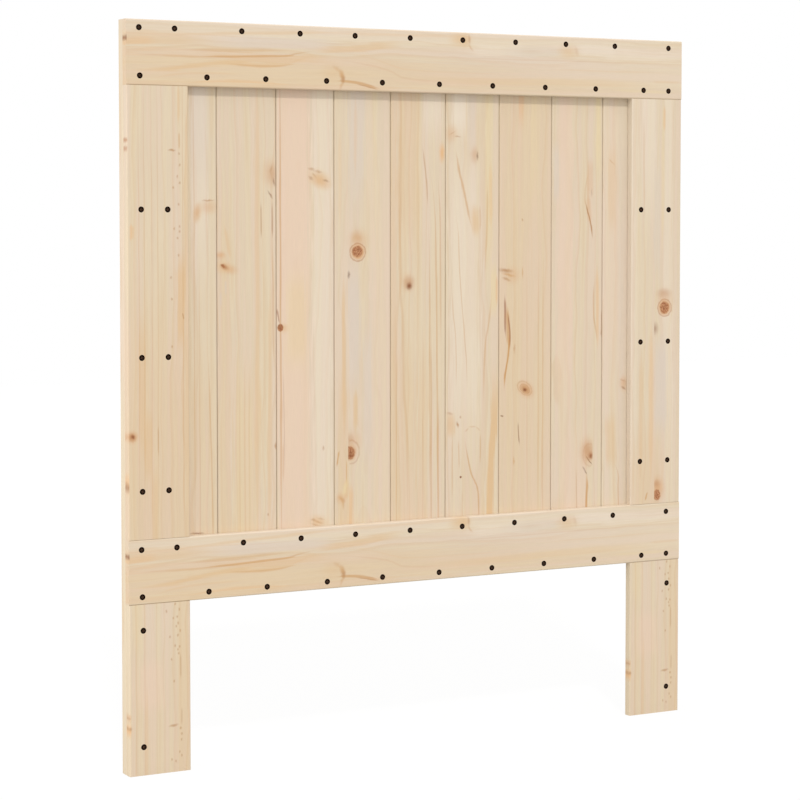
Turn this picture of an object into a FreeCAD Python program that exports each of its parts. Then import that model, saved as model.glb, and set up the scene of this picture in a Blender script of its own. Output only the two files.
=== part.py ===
import FreeCAD, Part
import math
import os

from FreeCAD import Vector

# A pine headboard for a single bed. Planed boards lie in two layers and are
# screwed together from the front: rails, stiles and leg facings in front, two
# posts and nine upright planks behind them.
# Millimetres. +Z is up and the front faces -Y. The origin is on the floor,
# under the middle of the headboard.

# Overall size
width = 925.0
height = 1050.0
front_thickness = 13.0
rear_thickness = 16.0

# Front layer
rail_height = 90.5
stile_width = 92.0
leg_height = 240.0  # floor to the underside of the bottom rail

# Rear layer
post_width = 48.0
plank_width = 91.9  # the last one is ripped narrower, to fit beside its post
plank_count = 9
plank_gap = 0.6  # between neighbouring boards

# The planed boards' long edges are eased; their sawn ends are left crisp.
edge_radius = 2.0

# Countersunk wood screws, 4.2 x 25
head_radius = 4.3  # to the corners of its flats: a round head of 8.4
head_sink = 0.1  # the head lies this far under the wood's face
shank_radius = 2.1
screw_length = 25.0
tip_length = 5.0
bore_clearance = 0.05  # round the shank in the front board
screw_sides = 12  # flats that stand for each round of a screw and its hole
cutter_over = 1.0  # how far a hole's cutter runs past the board

# Where the screws stand along a rail, from the left end as the front is seen.
# They were driven by eye, one into each post and each plank.
upper_row = [19.0, 72.0, 174.0, 265.0, 353.0, 443.5, 532.0, 623.0, 712.0, 800.5, 900.0]
lower_row = [20.0, 120.5, 211.0, 307.0, 397.5, 492.5, 583.5, 675.5, 766.0, 854.0, 900.5]
# Heights above the floor of the upper and lower row on each rail
top_rail_rows = (1038.5, 972.5)
bottom_rail_rows = (316.5, 250.5)
# Stiles: an outer screw into the post and an inner one into the plank beside it
left_stile_columns = (21.0, 60.5)
right_stile_columns = (850.5, 902.0)
stile_rows = (788.5, 583.5, 397.5)
# Leg facings: into the posts alone
left_leg_column = (21.0,)
right_leg_column = (902.0,)
leg_rows = (203.5, 40.0)

# Worked-out places
depth = front_thickness + rear_thickness
left_x = -width / 2
right_x = width / 2
front_y = -depth / 2
joint_y = front_y + front_thickness
bottom_rail_top = leg_height + rail_height
top_rail_bottom = height - rail_height
plank_pitch = plank_width + plank_gap
head_height = head_radius - shank_radius  # a 90 degree countersink


def eased_section(corner, across, through):
    # Rounded rectangle with one corner at corner and its sides along the vectors
    # across and through; each corner is a quarter round of edge_radius.
    corners = [corner, corner + across, corner + across + through, corner + through]
    ways = [(corners[(i + 1) % 4] - corners[i]).normalize() for i in range(4)]
    edges = []
    for i in range(4):
        way_in = ways[i - 1]
        way_out = ways[i]
        start = corners[i] - way_in * edge_radius
        end = corners[i] + way_out * edge_radius
        centre = start + way_out * edge_radius
        middle = centre + (way_in - way_out) * (edge_radius / math.sqrt(2))
        next_start = corners[(i + 1) % 4] - way_out * edge_radius
        edges.append(Part.Arc(start, middle, end).toShape())
        edges.append(Part.LineSegment(end, next_start).toShape())
    return Part.Face(Part.Wire(edges))


def upright_board(x_low, board_width, y_low, thickness, z_low, z_high):
    section = eased_section(
        Vector(x_low, y_low, z_low), Vector(board_width, 0, 0), Vector(0, thickness, 0)
    )
    return section.extrude(Vector(0, 0, z_high - z_low))


def rail(z_low):
    section = eased_section(
        Vector(left_x, front_y, z_low), Vector(0, front_thickness, 0), Vector(0, 0, rail_height)
    )
    return section.extrude(Vector(width, 0, 0))


def front_upright(x_low, z_low, z_high):
    return upright_board(x_low, stile_width, front_y, front_thickness, z_low, z_high)


def post(x_low):
    return upright_board(x_low, post_width, joint_y, rear_thickness, 0, height)


def plank(number):
    x_low = left_x + post_width + (number - 1) * plank_pitch + plank_gap / 2
    room = right_x - post_width - plank_gap / 2 - x_low
    board_width = min(plank_width, room)
    return upright_board(x_low, board_width, joint_y, rear_thickness, leg_height, height)


def ring(x, z, deep, radius):
    # Corner points of one ring round a screw's axis, at a depth under the front face
    step = 2 * math.pi / screw_sides
    angles = [(side + 0.5) * step for side in range(screw_sides)]
    return [
        Vector(x + radius * math.cos(angle), front_y + deep, z + radius * math.sin(angle))
        for angle in angles
    ]


def polygon_face(points):
    return Part.Face(Part.makePolygon(points + points[:1]))


def turning(x, z, outline):
    # A solid round a screw's axis, its rounds cut to flats. The outline runs from
    # front to back as (depth under the front face, radius), to a point if the last
    # radius is nought.
    rings = [ring(x, z, deep, radius) for deep, radius in outline]
    faces = [polygon_face(rings[0])]
    for near, far in zip(rings, rings[1:]):
        for side in range(screw_sides):
            corners = [near[side - 1], near[side], far[side]]
            if far[side - 1].distanceToPoint(far[side]) > 0:
                corners.append(far[side - 1])
            faces.append(polygon_face(corners))
    if outline[-1][1] > 0:
        faces.append(polygon_face(rings[-1]))
    shell = Part.Shell(faces)
    shell.sewShape()
    solid = Part.Solid(shell)
    return solid if solid.Volume > 0 else solid.reversed()


def screw(x, z):
    tip = head_sink + screw_length
    return turning(
        x,
        z,
        [
            (head_sink, head_radius),
            (head_sink + head_height, shank_radius),
            (tip - tip_length, shank_radius),
            (tip, 0),
        ],
    )


def front_hole(x, z):
    # Countersink that the head's cone seats in, and a clear bore for the shank
    mouth = head_radius + head_sink
    bore = shank_radius + bore_clearance
    return turning(
        x,
        z,
        [
            (-cutter_over, mouth),
            (0, mouth),
            (mouth - bore, bore),
            (front_thickness + cutter_over, bore),
        ],
    )


def grid(columns, rows):
    return [(left_x + column, row) for row in rows for column in columns]


def rail_grid(rows):
    return grid(upper_row, rows[:1]) + grid(lower_row, rows[1:])


# Front layer
front_boards = {
    "top_rail": rail(top_rail_bottom),
    "bottom_rail": rail(leg_height),
    "left_stile": front_upright(left_x, bottom_rail_top, top_rail_bottom),
    "right_stile": front_upright(right_x - stile_width, bottom_rail_top, top_rail_bottom),
    "left_leg_facing": front_upright(left_x, 0, leg_height),
    "right_leg_facing": front_upright(right_x - stile_width, 0, leg_height),
}

# Rear layer
rear_boards = {
    "left_rear_post": post(left_x),
    "right_rear_post": post(right_x - post_width),
}
for number in range(1, plank_count + 1):
    rear_boards["plank_%d" % number] = plank(number)

# Screws, and the front board that each group holds
screw_places = {
    "top_rail": rail_grid(top_rail_rows),
    "bottom_rail": rail_grid(bottom_rail_rows),
    "left_stile": grid(left_stile_columns, stile_rows),
    "right_stile": grid(right_stile_columns, stile_rows),
    "left_leg_facing": grid(left_leg_column, leg_rows),
    "right_leg_facing": grid(right_leg_column, leg_rows),
}
screws = {}
for board, places in screw_places.items():
    screws[board] = [screw(x, z) for x, z in places]
    front_boards[board] = front_boards[board].cut([front_hole(x, z) for x, z in places])

# Each rear board keeps the print of the screws that bite into it.
for board, solid in rear_boards.items():
    box = solid.BoundBox
    biting = [
        one
        for group in screws.values()
        for one in group
        if box.XMin < one.BoundBox.Center.x < box.XMax
    ]
    rear_boards[board] = solid.cut(biting)

nodes = dict(front_boards)
nodes.update(rear_boards)
for board, group in screws.items():
    nodes[board.replace("_facing", "") + "_screws"] = Part.Compound(group)

os.makedirs("parts", exist_ok=True)
for name, shape in nodes.items():
    shape.exportStep("parts/%s.step" % name)
    print(name, len(shape.Solids), "solids, valid", shape.isValid())
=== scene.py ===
import functools
import math
import random

import bmesh
import bpy
from mathutils import Euler, Matrix, Vector


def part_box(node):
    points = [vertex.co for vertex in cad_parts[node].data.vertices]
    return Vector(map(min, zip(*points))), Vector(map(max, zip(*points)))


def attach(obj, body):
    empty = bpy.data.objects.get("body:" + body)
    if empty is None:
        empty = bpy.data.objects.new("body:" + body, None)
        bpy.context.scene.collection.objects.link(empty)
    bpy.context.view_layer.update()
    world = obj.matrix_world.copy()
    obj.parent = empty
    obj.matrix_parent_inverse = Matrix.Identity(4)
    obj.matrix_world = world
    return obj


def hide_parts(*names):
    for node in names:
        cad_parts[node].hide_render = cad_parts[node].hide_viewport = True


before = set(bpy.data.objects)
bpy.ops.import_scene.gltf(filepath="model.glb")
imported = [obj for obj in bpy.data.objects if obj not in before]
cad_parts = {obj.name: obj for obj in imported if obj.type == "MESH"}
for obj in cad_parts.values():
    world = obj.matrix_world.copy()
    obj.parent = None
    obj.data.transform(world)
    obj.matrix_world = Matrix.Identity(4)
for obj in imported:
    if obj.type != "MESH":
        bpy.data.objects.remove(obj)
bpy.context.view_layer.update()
print("frame loaded:", len(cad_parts), "nodes")

# A pine headboard: two layers of planed boards, screwed together from the front.
# Lengths in the dictionaries are millimetres unless a name says otherwise.
millimetre = 0.001


def hexColour(text, alpha=1.0):
    # sRGB hex to the linear colour that shaders want
    channels = [int(text[i:i + 2], 16) / 255 for i in (1, 3, 5)]
    linear = [c / 12.92 if c <= 0.04045 else ((c + 0.055) / 1.055) ** 2.4 for c in channels]
    return (*linear, alpha)


def addNode(tree, kind, feeds=None, stops=None, route=None, **settings):
    # One shader node: settings are its properties, feeds its inputs. What feeds an input is a value,
    # another node's output, or that node itself, which stands for its first output in use.
    node = tree.nodes.new("ShaderNode" + kind)
    for name, value in settings.items():
        setattr(node, name, value)
    for socket, value in (feeds or {}).items():
        if isinstance(value, bpy.types.Node):
            value = next(output for output in value.outputs if output.enabled)
        if isinstance(value, bpy.types.NodeSocket):
            tree.links.new(value, node.inputs[socket])
        else:
            node.inputs[socket].default_value = value
    if stops:  # a colour ramp's stops: place, colour, cover
        ramp = node.color_ramp
        for i, (place, colour, cover) in enumerate(stops):
            element = ramp.elements[i] if i < 2 else ramp.elements.new(place)
            element.position = place
            element.color = hexColour(colour, cover)
    if route:  # a curve's points, both ways from 0 to 1
        curve = node.mapping.curves[0]
        curve.points[0].location = route[0]
        curve.points[1].location = route[-1]
        for point in route[1:-1]:
            curve.points.new(*point)
        node.mapping.update()
    return node


# Sockets of a Mix node in colour mode
mixFactor, mixFirst, mixSecond = 0, 6, 7

# A noise's middle, and the range that most of its values lie in
noiseMiddle = (0.5, 0.5, 0.5)
noiseLow, noiseHigh = 0.3, 0.7

# Pine

# Bare planed Scots pine: bands of sapwood, lines of latewood, resin and knots. Each tint
# is laid over the base in the strength that a figure gives.
pineTints = {
    "cream": "#ecdecb",
    "rose": "#e8ccb4",
    "grey": "#dacbbc",
    "straw": "#e6d1a4",
    "tan": "#ddb888",
    "orange": "#e4b076",
    "ochre": "#c68f50",
    "brown": "#b07a46",
    "red": "#96552e",
    "dark": "#6a4228",
    "amber": "#d6a473",
    "rust": "#b57a4c",
    "umber": "#83491f",
}

# Shapes of a knot's strokes: how far out the cover holds and where it ends, in parts of
# the stroke's radius. A rim is a ring, so its two run from the radius itself, and a core is
# mottled knot wood whatever its tint.
strokeShapes = {
    "haze": (0.0, 1.5),
    "patch": (0.55, 1.1),
    "core": (0.78, 1.08),
    "rim": (0.03, 0.13),
}

# Figures: what each board's grain does, in millimetres from the board's left edge and from
# its lower edge (rails) or the floor (uprights).
#   marks: tint, strength, half width, route; bands and lines along the grain
#   strokes: shape, tint, strength, x, height, half width, half height, and perhaps degrees
#     turned clockwise and a flat side: nothing left of that x, or right of it if negative
#   pits: x, height; pinholes of resin
railFigure = {
    "marks": [
        ("cream", 0.30, 13, [(-200, 82), (1100, 82)]),
        ("tan", 0.26, 22, [(-500, 22), (1100, 26)]),
        ("tan", 0.26, 5, [(-300, 3), (560, 3)]),
        ("tan", 0.38, 9, [(-80, 64), (140, 66)]),
        ("tan", 0.24, 7, [(-120, 46), (300, 48)]),
        ("tan", 0.42, 5.5, [(110, 39), (330, 44)]),
        ("orange", 0.28, 5, [(-30, 59), (50, 61)]),
        ("grey", 0.50, 8, [(110, 63), (345, 66)]),
        ("tan", 0.40, 2.4, [(60, 72), (106, 73), (181, 76.5), (250, 79.5), (345, 83.5)]),
        ("tan", 0.28, 2.4, [(300, 81), (560, 84.5)]),
        ("ochre", 0.30, 2.4, [(60, 50), (150, 51.5), (262, 55)]),
        ("ochre", 0.22, 1.4, [(-10, 45), (95, 41.5), (190, 43.5)]),
        ("ochre", 0.50, 1.7, [(90, 41.5), (150, 42.5), (212, 45), (240, 46.5), (262, 51), (300, 57)]),
        ("tan", 0.55, 3.6, [
            (-20, 20), (58, 23), (95, 28), (150, 33.5), (215, 32.5), (245, 36), (275, 45), (305, 49)]),
        ("ochre", 0.32, 1.4, [(140, 33), (215, 31.5), (243, 33.5), (272, 43)]),
        ("tan", 0.30, 1.6, [(22, 3), (50, 12), (80, 17), (112, 19), (190, 19)]),
        ("orange", 0.30, 2.2, [(76, 1), (98, 5.5), (140, 8.5), (205, 8), (270, 4)]),
        ("tan", 0.52, 4.9, [(282, 56), (320, 59), (360, 61.5), (400, 66), (436, 69)]),
        ("ochre", 0.60, 2.3, [
            (316, 13), (336, 13.2), (349, 12.2), (362, 10.4), (374, 8), (386, 5), (400, 1)]),
        ("brown", 0.45, 0.9, [(350, 10.5), (366, 7.5), (382, 4), (396, 0)]),
        ("tan", 0.24, 1.3, [(330, 54), (375, 48), (410, 39), (440, 33), (520, 31.5), (640, 32)]),
        ("ochre", 0.15, 1.5, [(320, 44), (378, 37), (412, 29), (437, 20), (520, 18)]),
        ("grey", 0.22, 17, [(400, 45), (900, 45)]),
        ("cream", 0.20, 24, [(520, 38), (1400, 40)]),
        ("ochre", 0.16, 1.1, [(440, 53.5), (760, 54), (960, 54.5)]),
        ("tan", 0.24, 5.0, [(430, 17), (610, 20), (780, 22), (900, 21)]),
        ("tan", 0.20, 1.4, [(640, 40), (925, 41)]),
        ("tan", 0.28, 2.0, [(860, 26), (935, 27)]),
        ("cream", 0.36, 8, [(530, 65), (650, 66)]),
        ("grey", 0.35, 8, [(590, 65), (720, 66)]),
        ("cream", 0.42, 9, [(722, 70), (815, 70)]),
        ("tan", 0.14, 1.8, [(640, 56), (960, 58)]),
        ("cream", 0.35, 8, [(770, 66), (960, 66)]),
        ("straw", 0.35, 2.4, [(780, 12), (925, 11)]),
    ],
    "strokes": [
        ("haze", "tan", 0.26, 316, 24, 18, 15),
        ("haze", "ochre", 0.28, 324, 30.5, 8, 3.4, 32),
        ("haze", "ochre", 0.62, 331.5, 21.5, 4.2, 8, -14),
        ("haze", "ochre", 0.36, 331, 8, 2.6, 8, 22),
        ("haze", "brown", 0.54, 333.5, 16, 3.6, 6.0),
        ("haze", "tan", 0.62, 528, 80, 18, 11),
        ("haze", "tan", 0.50, 536, 79, 9, 10),
        ("haze", "brown", 0.42, 543, 80, 2.2, 7, -6),
        ("haze", "ochre", 0.40, 545.5, 68.5, 1.8, 6, -38),
        ("haze", "tan", 0.42, 716, 68, 17, 11),
        ("haze", "ochre", 0.20, 731, 69, 3.0, 8, -16),
        ("haze", "umber", 0.85, 0, 64.5, 2.6, 4.2, 0, -1.0),
    ],
}

leftStileFigure = {
    "marks": [
        ("tan", 0.18, 70, [(46, 30), (46, 720)]),
        ("ochre", 0.06, 70, [(46, -200), (46, 800)]),
        ("straw", 0.18, 5, [(9, 1070), (9, 220)]),
        ("tan", 0.40, 5.5, [(21, 660), (22, 420)]),
        ("tan", 0.40, 5.5, [(31, 520), (31, 400)]),
        ("tan", 0.40, 5, [(40, 440), (40, 300)]),
        ("tan", 0.32, 4, [(89, 1070), (89, 220)]),
        ("tan", 0.65, 6, [(82, 740), (80, 660), (79, 580)]),
        ("tan", 0.45, 2.2, [(77, 970), (77, 900)]),
        ("orange", 0.45, 3.0, [(5, 772), (6, 757), (4, 742)]),
        ("ochre", 0.22, 0.8, [(17, 1070), (17, 220)]),
        ("ochre", 0.26, 0.8, [(25, 1070), (25, 220)]),
        ("ochre", 0.22, 0.8, [(36, 1070), (36, 220)]),
        ("ochre", 0.24, 0.8, [(45, 1070), (45, 220)]),
        ("brown", 0.40, 0.9, [(45, 495), (45, 440)]),
        ("ochre", 0.28, 0.9, [(83, 1070), (83, 220)]),
        ("brown", 0.60, 1.0, [(82, 646), (84, 634)]),
        ("ochre", 0.45, 1.2, [(78, 900), (78, 868)]),
    ],
    "strokes": [
        ("haze", "amber", 0.85, 6.0, 474, 8.2, 8.2),
        ("haze", "rust", 0.80, 6.2, 474, 5.8, 6.0),
        ("haze", "umber", 0.80, 7.0, 474, 2.6, 3.0),
        ("haze", "brown", 0.75, 67, 870.5, 5.5, 1.6, 4),
        ("haze", "rust", 0.70, 0, 884, 2.0, 3.6, 0, -1.2),
        ("haze", "rust", 0.65, 0, 872, 2.0, 4.2, 0, -1.2),
        ("haze", "orange", 0.55, 0, 410, 2.2, 13.0, 0, -1.4),
        ("haze", "umber", 0.55, 0, 404, 2.2, 7.0, 0, -1.4),
    ],
    "pits": [
        (77.5, 866), (78.6, 850), (75, 834), (78.6, 826), (68.6, 819), (77, 796), (78, 765), (70, 762),
        (78, 758), (75, 749), (76.6, 725), (65, 694), (66, 664), (66, 598),
    ],
}

legFigure = {
    "marks": [
        ("tan", 0.09, 70, [(46, -260), (46, 240)]),
        ("straw", 0.28, 9, [(14, 300), (14, 160)]),
        ("rose", 0.50, 20, [(32, 170), (32, 80)]),
        ("tan", 0.20, 9, [(82, 400), (82, -200)]),
        ("ochre", 0.12, 0.8, [(10, 400), (10, -200)]),
        ("ochre", 0.18, 0.9, [(23, 400), (23, -200)]),
        ("ochre", 0.15, 0.8, [(41, 400), (41, -200)]),
        ("tan", 0.35, 2.5, [(26, 150), (25, -80)]),
        ("brown", 0.30, 1.3, [(76.7, 172), (77, 126)]),
        ("brown", 0.30, 1.1, [(78.5, 94), (78, 62)]),
    ],
    "strokes": [
        ("haze", "brown", 0.60, 66, 66, 7, 1.8, -4),
        ("haze", "orange", 0.70, 0, 65, 3.4, 9.5),
        ("haze", "umber", 0.42, 1.0, 67, 2.4, 3.0),
        ("haze", "amber", 0.55, 0, 82, 2.6, 6.0),
        ("haze", "umber", 0.18, 0, 81.5, 1.8, 2.0),
    ],
    "pits": [
        (55.8, 228), (69, 237), (75, 229), (66, 218), (72, 219), (73.3, 210), (70, 206), (76.3, 199),
        (72.8, 193), (60.8, 191.7), (68.3, 178.7), (75.5, 176.7), (72.8, 173), (74, 167), (63, 159.7),
        (67, 128.8), (76.7, 61.7), (78, 53), (78, 45), (75, 28), (78, 22.5), (63, 18), (69, 15),
    ],
}

rightStileFigure = {
    "marks": [
        ("cream", 0.44, 14, [(32, 1250), (32, 720)]),
        ("cream", 0.38, 8, [(69, 1300), (69, 650), (73, 440), (73, 200)]),
        ("straw", 0.12, 6, [(9, 1100), (11, 560)]),
        # Painted light: these two cream lines lighten the stile's left edge and its inner side face,
        # which the lamps leave darker
        ("cream", 0.26, 6, [(6, 1300), (6, 100)]),
        ("cream", 0.42, 2.0, [(0, 1500), (0, -100)]),
        ("ochre", 0.20, 1.8, [(22, 950), (23, 840), (24, 760)]),
        ("grey", 0.45, 6, [(48, 880), (48, 660)]),
        ("grey", 0.75, 11, [(56, 610), (56, 420)]),
        ("straw", 0.40, 3, [(58, 1000), (58, 690)]),
        ("orange", 0.40, 2.4, [(60, 955), (60, 905)]),
        ("orange", 0.35, 4.5, [(37, 640), (38, 480), (38, 340)]),
        ("tan", 0.40, 4, [(19, 600), (19, 340)]),
        ("tan", 0.30, 30, [(30, 480), (30, 100)]),
        ("ochre", 0.60, 1.5, [(33, 351), (30, 343), (28, 334)]),
    ],
    "strokes": [
        ("haze", "amber", 0.45, 62, 647, 15, 18),
        ("haze", "rust", 0.36, 61, 659, 14, 7.0),
        ("patch", "amber", 0.95, 62.2, 636.0, 12.6, 13.2),
        ("rim", "rust", 0.45, 62.2, 635.8, 12.6, 13.2),
        ("core", "rust", 1.0, 62.2, 636.2, 9.0, 9.9),
        ("haze", "umber", 0.35, 63.5, 638, 3.4, 3.0),
        ("haze", "umber", 0.56, 42.6, 603.5, 7.5, 9.5, 0, 43.0),
        ("haze", "amber", 0.75, 51, 353, 12, 18, 0, 44.5),
        ("haze", "rust", 0.42, 48, 361, 9, 6, 0, 44.5),
        ("core", "rust", 1.0, 49, 343.6, 7.6, 9.2, 0, 44.5),
    ],
}

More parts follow.
